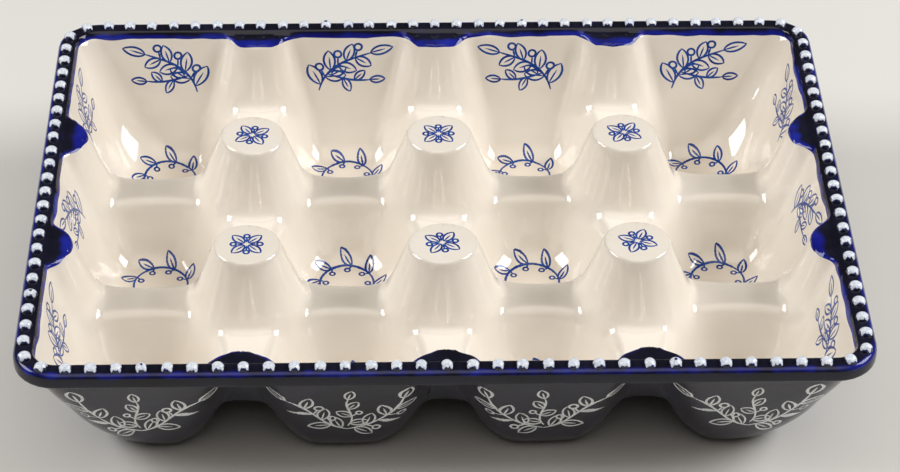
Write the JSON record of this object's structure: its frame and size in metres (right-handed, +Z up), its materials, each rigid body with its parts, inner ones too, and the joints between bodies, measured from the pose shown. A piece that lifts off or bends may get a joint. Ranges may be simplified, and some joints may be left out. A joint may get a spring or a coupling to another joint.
{
  "type": "egg tray",
  "caption": "Rectangular stoneware egg tray with tapered cups between flat-topped pedestals, a dark glazed rim set with raised beads, and a dark glazed outside on bare round feet.",
  "frame": {"origin": "centre of the footprint, on the surface that the feet stand on", "axes": "+X along the long side, to the right in the picture; +Y away from the viewer; +Z up out of the cups"},
  "size_m": [0.276, 0.2066, 0.0526],
  "materials": {
    "stoneware": "cream stoneware under a clear gloss glaze, bare on the feet",
    "rim_glaze": "brushed cobalt gloss glaze, almost black where it is thick",
    "exterior_glaze": "navy-black gloss glaze",
    "bead_enamel": "raised dots of white enamel, brushed on by hand"
  },
  "bodies": {
    "root": {"stoneware_body": "stoneware", "rim_glaze": "rim_glaze", "exterior_glaze": "exterior_glaze", "bead_course_front": "bead_enamel", "bead_course_right": "bead_enamel", "bead_course_back": "bead_enamel", "bead_course_left": "bead_enamel"}
  },
  "joints": []
}
